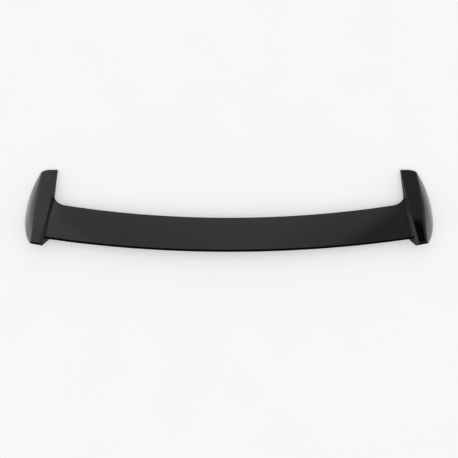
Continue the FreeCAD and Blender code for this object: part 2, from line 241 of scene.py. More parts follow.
# %% Stations along the leading edge
BOW_STEPS, CORNER_STEPS = 150, 26
bow_centre = NOSE_Y + BOW_RADIUS
corner_x = HALF_GAP - CORNER_RADIUS
reach = BOW_RADIUS - CORNER_RADIUS
corner_y = bow_centre - math.sqrt(reach ** 2 - corner_x ** 2)
touch = math.asin(corner_x / reach)
edge_line = []
for step in range(CORNER_STEPS):
    turn = (math.pi / 2 - touch) * step / CORNER_STEPS
    edge_line.append((-corner_x - CORNER_RADIUS * math.cos(turn), corner_y - CORNER_RADIUS * math.sin(turn)))
for step in range(BOW_STEPS + 1):
    turn = touch * (2 * step / BOW_STEPS - 1)
    edge_line.append((BOW_RADIUS * math.sin(turn), bow_centre - BOW_RADIUS * math.cos(turn)))
edge_line += [(-x, y) for x, y in reversed(edge_line[:CORNER_STEPS])]
edge_points = point_object("edge_points", [(x * MM, y * MM, 0.0) for x, y in edge_line])
print("leading edge:", len(edge_line), "stations")

# %% [markdown]
# ## Blade by Geometry Nodes
# The blade keeps one section all the way, bowed forward and drooping towards its ends: in the CAD part the
# section turns about a far, tilted axis. That is a rule, so Geometry Nodes make it: a grid takes one row of
# points for each station of the leading edge and one column for each point of the section. Modelling by
# hand could reach the same look, but here a change of the bow, the fillet or the tilt is one number.
# Formulas are long when each node is wired by hand, so a small class turns plus and minus into Math nodes.

# %% Helper that writes node formulas


class Field:
    """A node socket that can be used in formulas."""

    def __init__(self, tree, socket):
        self.tree = tree
        self.socket = socket

    def math(self, operation, other=None):
        node = self.tree.nodes.new("ShaderNodeMath")
        node.operation = operation
        for slot, value in enumerate((self, other)):
            if isinstance(value, Field):
                self.tree.links.new(value.socket, node.inputs[slot])
            elif value is not None:
                node.inputs[slot].default_value = value
        return Field(self.tree, node.outputs[0])

    def __add__(self, other):
        return self.math("ADD", other)

    def __sub__(self, other):
        return self.math("SUBTRACT", other)

    def __mul__(self, other):
        return self.math("MULTIPLY", other)

    def __truediv__(self, other):
        return self.math("DIVIDE", other)

    def root(self):
        return self.math("SQRT")

    def rest(self):
        return self * -1.0 + 1.0

    def between(self, low, high):
        return self.math("MAXIMUM", low).math("MINIMUM", high)

    def parts(self):
        node = self.tree.nodes.new("ShaderNodeSeparateXYZ")
        self.tree.links.new(self.socket, node.inputs[0])
        return [Field(self.tree, socket) for socket in node.outputs]


print("a field can use", [name for name in vars(Field) if name.isalpha()])

# %% [markdown]
# A tree needs named inputs for its sizes, which the inserts will need again, and a way to read the values
# of the helper points, which the blade does five times. So both are helpers too.

# %% Helpers for a tree with named inputs


def node_group(name, inputs):
    """Empty Geometry Nodes group with named inputs, and fields for them."""
    tree = bpy.data.node_groups.new(name, "GeometryNodeTree")
    tree.interface.new_socket("Geometry", in_out="OUTPUT", socket_type="NodeSocketGeometry")
    for label, kind in inputs.items():
        tree.interface.new_socket(label, in_out="INPUT", socket_type=kind)
    entry = tree.nodes.new("NodeGroupInput")
    return tree, {label: Field(tree, entry.outputs[label]) for label in inputs}


def sampled(tree, holder, key, kind, index):
    """Value of one point of another object: its position, or a named value."""
    info = tree.nodes.new("GeometryNodeObjectInfo")
    tree.links.new(holder.socket, info.inputs["Object"])
    if key == "position":
        source = tree.nodes.new("GeometryNodeInputPosition").outputs[0]
    else:
        named = tree.nodes.new("GeometryNodeInputNamedAttribute")
        named.data_type = kind
        named.inputs["Name"].default_value = key
        source = named.outputs["Attribute"]
    pick = tree.nodes.new("GeometryNodeSampleIndex")
    pick.data_type = kind
    tree.links.new(info.outputs["Geometry"], pick.inputs["Geometry"])
    tree.links.new(source, pick.inputs["Value"])
    tree.links.new(index.socket, pick.inputs["Index"])
    return Field(tree, pick.outputs[0])


print("helpers:", node_group.__name__, sampled.__name__)

# %% [markdown]
# The tree starts from a flat grid. Each of its points works out which station and which point of the
# section it stands for, and looks both up. Curve to Mesh could sweep the section too, but it turns the
# section square to the path, and here each row has to stay parallel to the fins' walls, where the blade
# ends.

# %% Inputs and grid of the blade's tree
blade_tree, given = node_group("blade_rule", {
    "Section": "NodeSocketObject",
    "Leading edge": "NodeSocketObject",
    "Sweep radius": "NodeSocketFloat",
    "Tilt sine": "NodeSocketFloat",
    "Tilt cosine": "NodeSocketFloat",
    "Nose Y": "NodeSocketFloat",
    "Nose Z": "NodeSocketFloat",
    "Blend length": "NodeSocketFloat",
    "Half gap": "NodeSocketFloat",
    "Fillet radius": "NodeSocketFloat",
    "Material": "NodeSocketMaterial",
})
grid = blade_tree.nodes.new("GeometryNodeMeshGrid")
grid.inputs["Size X"].default_value = 1.0
grid.inputs["Size Y"].default_value = 1.0
grid.inputs["Vertices X"].default_value = len(edge_line)
grid.inputs["Vertices Y"].default_value = len(section) + 1
place = Field(blade_tree, blade_tree.nodes.new("GeometryNodeInputPosition").outputs[0])
across, around, _ = place.parts()
station = ((across + 0.5) * (len(edge_line) - 1)).math("ROUND")
column = ((around + 0.5) * len(section)).math("ROUND").math("MODULO", len(section))
edge_x, edge_y, _ = sampled(blade_tree, given["Leading edge"], "position", "FLOAT_VECTOR", station).parts()
_, point_y, point_z = sampled(blade_tree, given["Section"], "position", "FLOAT_VECTOR", column).parts()
_, out_y, out_z = sampled(blade_tree, given["Section"], "outward", "FLOAT_VECTOR", column).parts()
draw_slope = sampled(blade_tree, given["Section"], "drawn", "FLOAT", column)
fillet_share = sampled(blade_tree, given["Section"], "joins", "FLOAT", column)
print("grid:", len(edge_line), "stations by", len(section), "points of the section")

# %% [markdown]
# Now the rule itself. Near the nose, points are drawn forward to the leading edge. Beside a fin's wall,
# they swell outwards in a quarter circle, which is the small fillet that a mould leaves there. Then every
# point comes forward and down by the bow of its own radius.

# %% Rule that places the blade's points


def bow(radius):
    """How far a point at this radius from the axis has come forward at the station."""
    return radius - (radius * radius - edge_x * edge_x).root()


pull = edge_y - bow(given["Sweep radius"]) * given["Tilt cosine"] - given["Nose Y"]
near_nose = ((point_y - given["Nose Y"]) / given["Blend length"] + 1.0).between(0.0, 1.0)
pull = pull * near_nose
y_now = point_y + pull
z_now = point_z - pull * draw_slope
into = (edge_x.math("ABSOLUTE") - given["Half gap"]) / given["Fillet radius"] + 1.0
into = into.between(0.0, 1.0)
swell = (into * into).rest().root().rest()
swell = swell * given["Fillet radius"] * fillet_share
y_now = y_now + swell * out_y
z_now = z_now + swell * out_z
radius_here = given["Sweep radius"] - (y_now - given["Nose Y"]) * given["Tilt cosine"]
radius_here = radius_here + (z_now - given["Nose Z"]) * given["Tilt sine"]
come = bow(radius_here)
combine = blade_tree.nodes.new("ShaderNodeCombineXYZ")
blade_tree.links.new(edge_x.socket, combine.inputs["X"])
blade_tree.links.new((y_now + come * given["Tilt cosine"]).socket, combine.inputs["Y"])
blade_tree.links.new((z_now - come * given["Tilt sine"]).socket, combine.inputs["Z"])
print("rule:", len(blade_tree.nodes), "nodes so far")

# %% [markdown]
# At the end of the tree the points are moved, the seam along the section is welded, and the piece gets its
# material. Realize Instances changes nothing here, but a tree that ends with it can always be exported.

# %% End of the blade's tree
SEAM = 0.000002
shape = blade_tree.nodes.new("GeometryNodeSetPosition")
blade_tree.links.new(grid.outputs["Mesh"], shape.inputs["Geometry"])
blade_tree.links.new(combine.outputs[0], shape.inputs["Position"])
weld = blade_tree.nodes.new("GeometryNodeMergeByDistance")
weld.inputs["Distance"].default_value = SEAM
real = blade_tree.nodes.new("GeometryNodeRealizeInstances")
paint = blade_tree.nodes.new("GeometryNodeSetMaterial")
leave = blade_tree.nodes.new("NodeGroupOutput")
blade_tree.links.new(shape.outputs[0], weld.inputs["Geometry"])
blade_tree.links.new(weld.outputs[0], real.inputs[0])
blade_tree.links.new(real.outputs[0], paint.inputs["Geometry"])
blade_tree.links.new(given["Material"].socket, paint.inputs["Material"])
blade_tree.links.new(paint.outputs[0], leave.inputs[0])
print("blade rule:", len(blade_tree.nodes), "nodes")

# %% [markdown]
# A modifier runs the tree with this part's sizes. The fins are joined on by plain mesh editing, which a
# live modifier would get in the way of, so the result is kept as a mesh and the modifier's object goes.

# %% Run the tree and keep the result as a plain mesh
gloss = bpy.data.materials.new("gloss_black")


def run_tree(name, tree, settings):
    """Plain mesh of what a node tree makes with these settings."""
    item = bpy.data.objects.new(name, bpy.data.meshes.new(name))
    bpy.context.scene.collection.objects.link(item)
    modifier = item.modifiers.new(name, "NODES")
    modifier.node_group = tree
    for socket in tree.interface.items_tree:
        if socket.name in settings:
            modifier[socket.identifier] = settings[socket.name]
    view = bpy.context.evaluated_depsgraph_get()
    mesh = bpy.data.meshes.new_from_object(item.evaluated_get(view))
    bpy.data.objects.remove(item)
    return mesh


FILLET, BLEND_LENGTH = 3.0, 60.0
blade_mesh = run_tree("blade", blade_tree, {
    "Section": section_points,
    "Leading edge": edge_points,
    "Sweep radius": BLADE_RADIUS * MM,
    "Tilt sine": math.sin(BLADE_TILT),
    "Tilt cosine": math.cos(BLADE_TILT),
    "Nose Y": NOSE_Y * MM,
    "Nose Z": NOSE_TOP * MM,
    "Blend length": BLEND_LENGTH * MM,
    "Half gap": HALF_GAP * MM,
    "Fillet radius": FILLET * MM,
    "Material": gloss,
})
for helper in (section_points, edge_points):
    bpy.data.objects.remove(helper)
print("blade mesh:", len(blade_mesh.vertices), "points,", len(blade_mesh.polygons), "faces")

# %% [markdown]
# ## Fins
# Each fin is a wedge: a flat top that climbs to a bevelled lip, a rounded skirt on the outside, and a flat
# wall on the inside that the blade grows out of. The surfaces run lengthwise, so lines are drawn from the
# tip to the lip and skinned with quads. A boolean of simple blocks would be quicker to write, but its long
# thin triangles would show in the gloss.

# %% Rules of the fin's section
EASE, EASE_SHARE, EASE_LIMIT = 5.0, 0.3, 0.4
RIM_OVERRUN = 1.0
INNER_EDGE = 0.8


def arc_radius(run, sag):
    return (run ** 2 + sag ** 2) / (2 * sag)


RIM_FRONT = arc_radius(TIP_Y - WIDEST_Y, HALF_WIDTH - RIM_TIP)
RIM_REAR = arc_radius(WIDEST_Y - LIP_Y, HALF_WIDTH - RIM_LIP)


def climb(y):
    return (TIP_Y - y) / (TIP_Y - LIP_Y)


def fin_height(y):
    return TIP_HEIGHT + (LIP_HEIGHT - TIP_HEIGHT) * climb(y)


def crease_x(y):
    return CREASE_TIP + (CREASE_LIP - CREASE_TIP) * climb(y)


def rim_x(y):
    radius = RIM_FRONT if y > WIDEST_Y else RIM_REAR
    return HALF_WIDTH - radius + math.sqrt(radius ** 2 - (y - WIDEST_Y) ** 2)


def skirt(y, inset=0.0, drop=0.0, crease_in=0.0):
    """Centre, radius and end angles of the skirt's arc at a station, from the crease to the rim plane."""
    rim = Vector((rim_x(y) - inset, -RIM_OVERRUN))
    crease = Vector((crease_x(y) - crease_in, fin_height(y) - drop))
    radius = SKIRT_RADIUS - inset
    run = crease - rim
    left = Vector((-run.y, run.x)).normalized()
    centre = (rim + crease) / 2 + left * math.sqrt(radius ** 2 - run.length ** 2 / 4)
    return centre, radius, math.atan2(crease.y - centre.y, crease.x - centre.x), math.asin(-centre.y / radius)


def on_skirt(y, share, **options):
    centre, radius, start, end = skirt(y, **options)
    angle = start + (end - start) * share
    return centre + Vector((math.cos(angle), math.sin(angle))) * radius


def line_point(kind, share, y):
    """Point (x, z) of one lengthwise line at a station."""
    size = max(INNER_EDGE, FACET_REAR * y / LIP_Y)
    height = fin_height(y)
    ease = min(EASE, EASE_SHARE * height)
    if kind == "facet":
        return Vector((HALF_GAP + size * share, height - size * (1 - share)))
    if kind == "top":
        return Vector((HALF_GAP + size + (crease_x(y) - ease - HALF_GAP - size) * share, height))
    centre, radius, start, end = skirt(y)
    eased = min(ease / (radius * (start - end)), EASE_LIMIT)
    if kind == "crease":
        a = Vector((crease_x(y) - ease, height))
        b = Vector((crease_x(y), height))
        c = on_skirt(y, eased)
        return a * (1 - share) ** 2 + b * 2 * share * (1 - share) + c * share ** 2
    return on_skirt(y, eased + (1 - eased) * share)


for y in (TIP_Y, WIDEST_Y, LIP_Y):
    print("fin at", y, "mm: height", round(fin_height(y), 1), "crease", round(crease_x(y), 1))

# %% [markdown]
# Behind, the fin ends in a bevel and a raked undercut, and in front in a straight edge with a round outer
# corner. Each lengthwise line has to stop just there. The meeting point has no short formula, so it is
# found by halving: a stretch is cut in two, over and over, and the half that holds the meeting point is
# kept.

# %% Where each line ends


def rear_limit(x, z):
    """Y of the fin's rear: the bevel below the lip or the undercut, whichever lies further forward."""
    swept = LIP_SWEEP * (x - HALF_GAP)
    bevel = LIP_Y - (LIP_HEIGHT - z) * BEVEL_RUN / BEVEL_DROP
    under = HEEL_Y - z * (HEEL_Y - LIP_Y + BEVEL_RUN) / (LIP_HEIGHT - BEVEL_DROP)
    return swept + max(bevel, under)


tip_sine = (TIP_Y - WIDEST_Y) / RIM_FRONT
corner_start = RIM_TIP - TIP_CORNER * math.sqrt(1 - tip_sine ** 2) / (1 + tip_sine)


def front_limit(x):
    """Y of the fin's front: straight, then round the tip's outer corner."""
    past = min(max(x - corner_start, 0.0), TIP_CORNER)
    return TIP_Y - TIP_CORNER + math.sqrt(TIP_CORNER ** 2 - past ** 2)


HALVINGS = 40


def halve(test, low, high):
    """Place between low and high where the test turns from true to false."""
    for _ in range(HALVINGS):
        middle = (low + high) / 2
        low, high = (middle, high) if test(middle) else (low, middle)
    return (low + high) / 2


BEHIND_LIP, MIDWAY = 11.0, 40.0


def line_ends(kind, share):
    """Rear and front end of a lengthwise line."""
    rear = halve(lambda y: y < rear_limit(*line_point(kind, share, y)), LIP_Y - BEHIND_LIP, MIDWAY)
    ahead = halve(lambda y: y < front_limit(line_point(kind, share, y).x), MIDWAY, TIP_Y)
    return rear, ahead


TOP_LINES, CREASE_LINES, SKIRT_LINES = 9, 5, 20
LOW_LIP_Z = LIP_HEIGHT - BEVEL_DROP
facet_break = halve(lambda s: line_point("facet", s, line_ends("facet", s)[0]).y < LOW_LIP_Z, 0.0, 1.0)
skirt_break = halve(lambda s: line_point("skirt", s, line_ends("skirt", s)[0]).y > LOW_LIP_Z, 0.0, 1.0)
lines = [("facet", 0.0), ("facet", facet_break), ("facet", 1.0)]
lines += [("top", step / TOP_LINES) for step in range(1, TOP_LINES + 1)]
lines += [("crease", step / CREASE_LINES) for step in range(1, CREASE_LINES + 1)]
lines += [("skirt", skirt_break)]
for step in range(1, SKIRT_LINES + 1):
    lines.append(("skirt", skirt_break + (1 - skirt_break) * step / SKIRT_LINES))
FIRST_LIP = lines.index(("facet", facet_break))
FACET_TOP = lines.index(("facet", 1.0))
LAST_LIP = lines.index(("skirt", skirt_break))
print("fin:", len(lines), "lengthwise lines, tip corner starts at", round(corner_start, 1), "mm")

# %% [markdown]
# A moulded edge is never quite sharp, and in gloss its rounding draws a fine line of light. So each line
# bends round the lip, round the lower edge of the bevel and over the edge of the tip. A Bevel modifier
# could do this too, but it would also catch the many flat edges beside them.

# %% Points of the lines, with the rounded lip and tip edge
STATIONS, BEND_STEPS = 84, 4
BEND_POINTS = BEND_STEPS + 1
LIP_ROUND, LOW_ROUND, TIP_ROUND, LEAST_ROUND = 1.6, 1.2, 1.2, 0.05
LIP_SHARE, LOW_SHARE, TIP_SHARE = 0.4, 0.3, 0.35
bevel_way = Vector((0, -BEVEL_RUN, -BEVEL_DROP)).normalized()
under_way = Vector((0, HEEL_Y - LIP_Y + BEVEL_RUN, -LOW_LIP_Z)).normalized()


def bent(start, corner, end):
    """Points round a corner, from start to end."""
    shares = [step / BEND_STEPS for step in range(BEND_POINTS)]
    return [start * (1 - s) ** 2 + corner * 2 * s * (1 - s) + end * s ** 2 for s in shares]


fin_lines = []
for number, (kind, share) in enumerate(lines):
    rear, ahead = line_ends(kind, share)

    def at(y):
        x, z = line_point(kind, share, y)
        return Vector((x, y, z))

    lip, tip = at(rear), at(ahead)
    path = []
    start = rear
    if FIRST_LIP < number < LAST_LIP:
        depth = (lip.z - LOW_LIP_Z) / -bevel_way.z
        low = lip + bevel_way * depth
        low_round = min(LOW_ROUND, LOW_SHARE * depth)
        lip_round = min(LIP_ROUND, LIP_SHARE * depth)
        start = rear + lip_round
        path += bent(low + under_way * low_round, low, low - bevel_way * low_round)
        path += bent(lip + bevel_way * lip_round, lip, at(start))
    else:
        path += [lip] * (2 * BEND_POINTS - 1) + [at(start)]
    tip_round = min(TIP_ROUND, TIP_SHARE * tip.z) if number >= FACET_TOP else 0.0
    stop = ahead - tip_round
    path += [at(start + (stop - start) * step / STATIONS) for step in range(1, STATIONS)]
    if tip_round > LEAST_ROUND:
        path += bent(at(stop), tip, tip - Vector((0, 0, tip_round)))
    else:
        path += [tip] * BEND_POINTS
    path.append(Vector((tip.x, tip.y, 0)))
    fin_lines.append(path)
print("points along each line:", len(fin_lines[0]))

# %% [markdown]
# ## Skin of the fins
# The fin is hollow below, as mouldings are, with walls of a few millimetres and an open rim. Neighbouring
# lines are joined with quads, and the flat faces (inner wall, undercut and rim) are filled between their
# edges. The blade's end is one of the edges of the inner wall, which makes fins and blade one closed skin.

# %% Inside outline of the fin, and helpers for skins
WALL, ROOF, CREASE_INSET = 3.5, 4.5, 1.0
HOLLOW_REAR, HOLLOW_FRONT = -64.0, 112.0
HOLLOW_STATIONS, HOLLOW_SIDE, HOLLOW_TOP, HOLLOW_SKIRT = 24, 6, 6, 12
WELD = 0.00002


def hollow_section(y):
    """Inside outline of the fin at a station: up the inner wall, along the ceiling and down the skirt."""
    ceiling = fin_height(y) - ROOF
    inner = HALF_GAP + WALL
    outer = crease_x(y) - CREASE_INSET
    points = [Vector((inner, ceiling * step / HOLLOW_SIDE)) for step in range(HOLLOW_SIDE)]
    points += [Vector((inner + (outer - inner) * step / HOLLOW_TOP, ceiling)) for step in range(HOLLOW_TOP)]
    options = dict(inset=WALL, drop=ROOF, crease_in=CREASE_INSET)
    points += [on_skirt(y, step / HOLLOW_SKIRT, **options) for step in range(HOLLOW_SKIRT + 1)]
    return [Vector((x, y, z)) for x, z in points]


def skin(bm, rows):
    """Quads between neighbouring rows of points."""
    for first, second in zip(rows, rows[1:]):
        for a, b, c, d in zip(first, first[1:], second[1:], second):
            ring = [vertex for spot, vertex in enumerate((a, b, c, d)) if vertex not in (a, b, c, d)[:spot]]
            if len(ring) > 2 and not bm.faces.get(ring):
                bm.faces.new(ring)


def chain(bm, vertices, closed=False):
    """Edges along a run of points."""
    pairs = list(zip(vertices, vertices[1:]))
    if closed:
        pairs.append((vertices[-1], vertices[0]))
    return [bm.edges.get(pair) or bm.edges.new(pair) for pair in pairs if pair[0] is not pair[1]]


def fill(bm, edges, normal):
    """Flat face inside closed chains of edges, with any inner chain left open."""
    bmesh.ops.triangle_fill(bm, edges=list(dict.fromkeys(edges)), use_beauty=True, normal=normal)


print("inside outline:", len(hollow_section(0.0)), "points")

# %% [markdown]
# One function builds a fin on either side. The left one is the same with X turned round, and its faces are
# set right at the end, when the normals of the whole body are worked out afresh.

# %% Build the fins onto the blade


def build_fin(bm, side):
    """One fin on the +X (1) or -X (-1) side, joined to the blade's end."""
    known = {}

    def vertex(point):
        key = (round(point.x, 3), round(point.y, 3), round(point.z, 3))
        if key not in known:
            known[key] = bm.verts.new((side * point.x * MM, point.y * MM, point.z * MM))
        return known[key]

    rows = [[vertex(point) for point in path] for path in fin_lines]
    skin(bm, rows)
    root = [edge for edge in bm.edges if edge.is_boundary and all(
        abs(v.co.x * side - HALF_GAP * MM) < WELD for v in edge.verts) and not set(edge.verts) & set(rows[0])]
    heel = vertex(Vector((HALF_GAP, HEEL_Y, 0)))
    wall_edges = chain(bm, rows[0]) + chain(bm, [rows[0][-1], heel, rows[0][0]])
    fill(bm, wall_edges + root, Vector((-side, 0, 0)))
    under = [heel, rows[0][0]] + [row[0] for row in rows[1:]]
    fill(bm, chain(bm, under, closed=True), Vector((0, -LOW_LIP_Z, HEEL_Y - LIP_Y - BEVEL_RUN)))
    pitch = (HOLLOW_FRONT - HOLLOW_REAR) / HOLLOW_STATIONS
    stations = [HOLLOW_REAR + pitch * step for step in range(HOLLOW_STATIONS + 1)]
    hollow = [[vertex(point) for point in hollow_section(y)] for y in stations]
    skin(bm, hollow)
    for end in (hollow[0], hollow[-1]):
        fill(bm, chain(bm, end, closed=True), Vector((0, 1, 0)))
    mouth = chain(bm, [row[0] for row in hollow]) + chain(bm, [row[-1] for row in hollow])
    mouth += chain(bm, [hollow[0][0], hollow[0][-1]]) + chain(bm, [hollow[-1][0], hollow[-1][-1]])
    foot = chain(bm, [row[-1] for row in rows]) + chain(bm, [rows[0][-1], heel, rows[-1][0]])
    foot += chain(bm, rows[-1])
    fill(bm, foot + mouth, Vector((0, 0, -1)))


DOUBLES, SLIVERS = 0.000005, 0.000002
bm = bmesh.new()
bm.from_mesh(blade_mesh)
bmesh.ops.reverse_faces(bm, faces=bm.faces)
for side in (1, -1):
    build_fin(bm, side)
bmesh.ops.remove_doubles(bm, verts=bm.verts, dist=DOUBLES)
bmesh.ops.dissolve_degenerate(bm, edges=bm.edges, dist=SLIVERS)
bmesh.ops.recalc_face_normals(bm, faces=bm.faces)
open_edges = sum(1 for edge in bm.edges if not edge.is_manifold)
print("body:", len(bm.faces), "faces,", open_edges, "open or shared edges")
print("volume:", round(bm.calc_volume() * 1000, 4), "litres")

# %% [markdown]
# ## Bosses and web
# Under each fin two round bosses come down from the ceiling, with a web between them, and the threaded
# inserts sit in their ends. They are turned and boxed shapes, so a short lathe helper makes them. Their
# upper ends stay inside the fin's top, where the real moulding is one mass.

# %% Turned bosses and flat webs, added to the body
BOLT_X, BOLT_Y = 540.0, 50.0
BOSS_R, POCKET_R, POCKET_DEPTH, RECESS_R, RECESS_DEPTH = 7.0, 4.0, 14.0, 5.0, 1.0
BOSS_EDGE = 0.4
WEB, WEB_LIFT, WEB_CLEAR = 2.5, 4.0, 1.0


def lathe(bm, x, y, profile, steps=48):
    """Closed turned shape about a vertical line; the (radius, z) profile starts and ends on that line."""
    rings = []
    for radius, z in profile:
        if radius == 0:
            rings.append([bm.verts.new((x * MM, y * MM, z * MM))] * (steps + 1))
            continue
        turns = [2 * math.pi * step / steps for step in range(steps)]
        spots = [(x + radius * math.cos(turn), y + radius * math.sin(turn)) for turn in turns]
        ring = [bm.verts.new((spot_x * MM, spot_y * MM, z * MM)) for spot_x, spot_y in spots]
        rings.append(ring + ring[:1])
    skin(bm, rings)


for side in (1, -1):
    for y in (BOLT_Y, -BOLT_Y):
        top = fin_height(y) - ROOF / 2
        lathe(bm, side * BOLT_X, y, [
            (0, POCKET_DEPTH), (POCKET_R, POCKET_DEPTH), (POCKET_R, RECESS_DEPTH), (RECESS_R, RECESS_DEPTH),
            (RECESS_R, 0), (BOSS_R - BOSS_EDGE, 0), (BOSS_R, BOSS_EDGE), (BOSS_R, top), (0, top)])
    box = bmesh.ops.create_cube(bm, size=1.0)["verts"]
    reach_y = BOLT_Y - POCKET_R - WEB_CLEAR
    top = fin_height(BOLT_Y) - ROOF / 2
    for corner in box:
        corner.co.x = (side * BOLT_X + corner.co.x * WEB) * MM
        corner.co.y = corner.co.y * 2 * reach_y * MM
        corner.co.z = (WEB_LIFT + (corner.co.z + 0.5) * (top - WEB_LIFT)) * MM
bmesh.ops.recalc_face_normals(bm, faces=bm.faces)
print("body with bosses:", len(bm.faces), "faces,", round(bm.calc_volume() * 1000, 4), "litres")

# %% [markdown]
# ## Smooth shading
# A gloss finish shows every kink in the normals. Faces are shaded smooth, true corners are marked sharp,
# and a Weighted Normal modifier lets the large flat faces keep their own direction, so the roundings take
# the bend.

# %% One smooth piece for the whole moulding
SHARP = math.radians(34)


def finished(name, mesh, material):
    """Object with smooth shading, sharp corners and weighted normals, as a plain mesh."""
    mesh.shade_smooth()
    mesh.set_sharp_from_angle(angle=SHARP)
    mesh.materials.clear()
    mesh.materials.append(material)
    item = bpy.data.objects.new(name, mesh)
    bpy.context.scene.collection.objects.link(item)
    weigh = item.modifiers.new("weigh", "WEIGHTED_NORMAL")
    weigh.keep_sharp = True
    plain = bpy.data.meshes.new_from_object(item.evaluated_get(bpy.context.evaluated_depsgraph_get()))
    item.modifiers.remove(weigh)
    item.data = plain
    plain.name = name
    return item


body_mesh = bpy.data.meshes.new("spoiler_smooth")
bm.to_mesh(body_mesh)
bm.free()
spoiler = finished("spoiler_smooth", body_mesh, gloss)
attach(spoiler, "root")
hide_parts("spoiler_body")
print("spoiler:", len(spoiler.data.polygons), "faces")

# %% [markdown]
# ## Threaded inserts
# Four brass bushes are pressed into the bosses from below, and screws come up into them. The bush is turned
# once and Geometry Nodes repeat it on four points, with a thread made from a spiral inside the bore. Four
# copies made by hand would look the same, but the thread's pitch and the pattern stay editable this way.

# %% One bush and the bolt pattern
INSERT_R, INSERT_LENGTH, FLANGE_R, FLANGE, BORE_R = 4.0, 12.0, 5.0, 1.0, 2.5
BORE_EDGE, FLANGE_EDGE, END_EDGE = 0.4, 0.15, 0.3
brass = bpy.data.materials.new("turned_brass")
bm = bmesh.new()
ring_profile = [
    (BORE_R + BORE_EDGE, 0.0), (FLANGE_R - FLANGE_EDGE, 0.0), (FLANGE_R, FLANGE_EDGE), (FLANGE_R, FLANGE),
    (INSERT_R, FLANGE), (INSERT_R, INSERT_LENGTH - END_EDGE), (INSERT_R - END_EDGE, INSERT_LENGTH),
    (BORE_R, INSERT_LENGTH), (BORE_R, BORE_EDGE)]
lathe(bm, 0, 0, ring_profile + ring_profile[:1])
bmesh.ops.remove_doubles(bm, verts=bm.verts, dist=DOUBLES)
bmesh.ops.recalc_face_normals(bm, faces=bm.faces)
bush_mesh = bpy.data.meshes.new("bush")
bm.to_mesh(bush_mesh)
bm.free()
bush = bpy.data.objects.new("bush", bush_mesh)
bpy.context.scene.collection.objects.link(bush)
pattern = point_object("bolt_pattern", [
    (x * BOLT_X * MM, y * BOLT_Y * MM, 0.0) for x in (-1, 1) for y in (-1, 1)])
print("bush:", len(bush_mesh.polygons), "faces, on", len(pattern.data.vertices), "points")

# %% [markdown]
# In the tree a spiral carries a three-sided profile, which is the thread. It joins the bush, and the pair
# is set on each point of the bolt pattern. A screw modifier could cut a thread as well, but only on one
# object.

# %% Tree that threads the bush and repeats it
THREAD_PITCH, THREAD_RISE, THREAD_START = 1.0, 0.24, 0.8
TURN_STEPS, TOOTH_SIDES = 32, 3
insert_tree, given = node_group("insert_rule", {
    "Bush": "NodeSocketObject",
    "Pattern": "NodeSocketObject",
    "Turns": "NodeSocketFloat",
    "Thread radius": "NodeSocketFloat",
    "Thread length": "NodeSocketFloat",
    "Thread rise": "NodeSocketFloat",
    "Material": "NodeSocketMaterial",
})


def linked(tree, kind, **wires):
    """New node with named inputs linked to fields or set to values."""
    node = tree.nodes.new(kind)
    for label, value in wires.items():
        socket = node.inputs[label.replace("_", " ")]
        if isinstance(value, Field):
            tree.links.new(value.socket, socket)
        else:
            socket.default_value = value
    return node


shape_in = linked(insert_tree, "GeometryNodeObjectInfo", Object=given["Bush"]).outputs["Geometry"]
points_in = linked(insert_tree, "GeometryNodeObjectInfo", Object=given["Pattern"]).outputs["Geometry"]
spiral = linked(insert_tree, "GeometryNodeCurveSpiral", Resolution=TURN_STEPS, Rotations=given["Turns"],
                Start_Radius=given["Thread radius"], End_Radius=given["Thread radius"],
                Height=given["Thread length"])
tooth = linked(insert_tree, "GeometryNodeCurvePrimitiveCircle", Resolution=TOOTH_SIDES,
               Radius=given["Thread rise"])
sweep = linked(insert_tree, "GeometryNodeCurveToMesh", Fill_Caps=True,
               Curve=Field(insert_tree, spiral.outputs[0]),
               Profile_Curve=Field(insert_tree, tooth.outputs[0]))
lift = linked(insert_tree, "GeometryNodeTransform", Geometry=Field(insert_tree, sweep.outputs[0]),
              Translation=(0.0, 0.0, THREAD_START * MM))
joined = insert_tree.nodes.new("GeometryNodeJoinGeometry")
insert_tree.links.new(lift.outputs[0], joined.inputs[0])
insert_tree.links.new(shape_in, joined.inputs[0])
copies = linked(insert_tree, "GeometryNodeInstanceOnPoints", Points=Field(insert_tree, points_in),
                Instance=Field(insert_tree, joined.outputs[0]))
real = linked(insert_tree, "GeometryNodeRealizeInstances", Geometry=Field(insert_tree, copies.outputs[0]))
paint = linked(insert_tree, "GeometryNodeSetMaterial", Geometry=Field(insert_tree, real.outputs[0]),
               Material=given["Material"])
leave = insert_tree.nodes.new("NodeGroupOutput")
insert_tree.links.new(paint.outputs[0], leave.inputs[0])
print("insert rule:", len(insert_tree.nodes), "nodes")

# %% [markdown]
# The tree runs with the thread's pitch and length, and the four bushes become one piece, because they are
# one node of the CAD part.

# %% Four inserts as one piece
thread_length = INSERT_LENGTH - 2 * THREAD_START
insert_mesh = run_tree("inserts", insert_tree, {
    "Bush": bush,
    "Pattern": pattern,
    "Turns": thread_length / THREAD_PITCH,
    "Thread radius": BORE_R * MM,
    "Thread length": thread_length * MM,
    "Thread rise": THREAD_RISE * MM,
    "Material": brass,
})
for helper in (bush, pattern):
    bpy.data.objects.remove(helper)
inserts = finished("inserts_smooth", insert_mesh, brass)
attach(inserts, "root")
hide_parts("threaded_inserts")
print("inserts:", len(inserts.data.polygons), "faces")

# %% [markdown]
# ## Gloss black and brass
# The moulding is black and polished, so nearly all its light is reflection: a dark base with the
# reflectance of clear plastic. Real moulded gloss isn't a perfect mirror. A slow waviness, called orange
# peel, and small changes of polish keep it from looking computed. An image texture could hold these, but
# noise in object space has no seams and no end of detail.

# %% Helpers for materials
NOISE_LOW, NOISE_HIGH = 0.3, 0.7
MIX_DARK, MIX_LIGHT, MIX_RESULT = 6, 7, 2


def shader_of(material):
    material.use_nodes = True
    return material.node_tree, material.node_tree.nodes["Principled BSDF"]


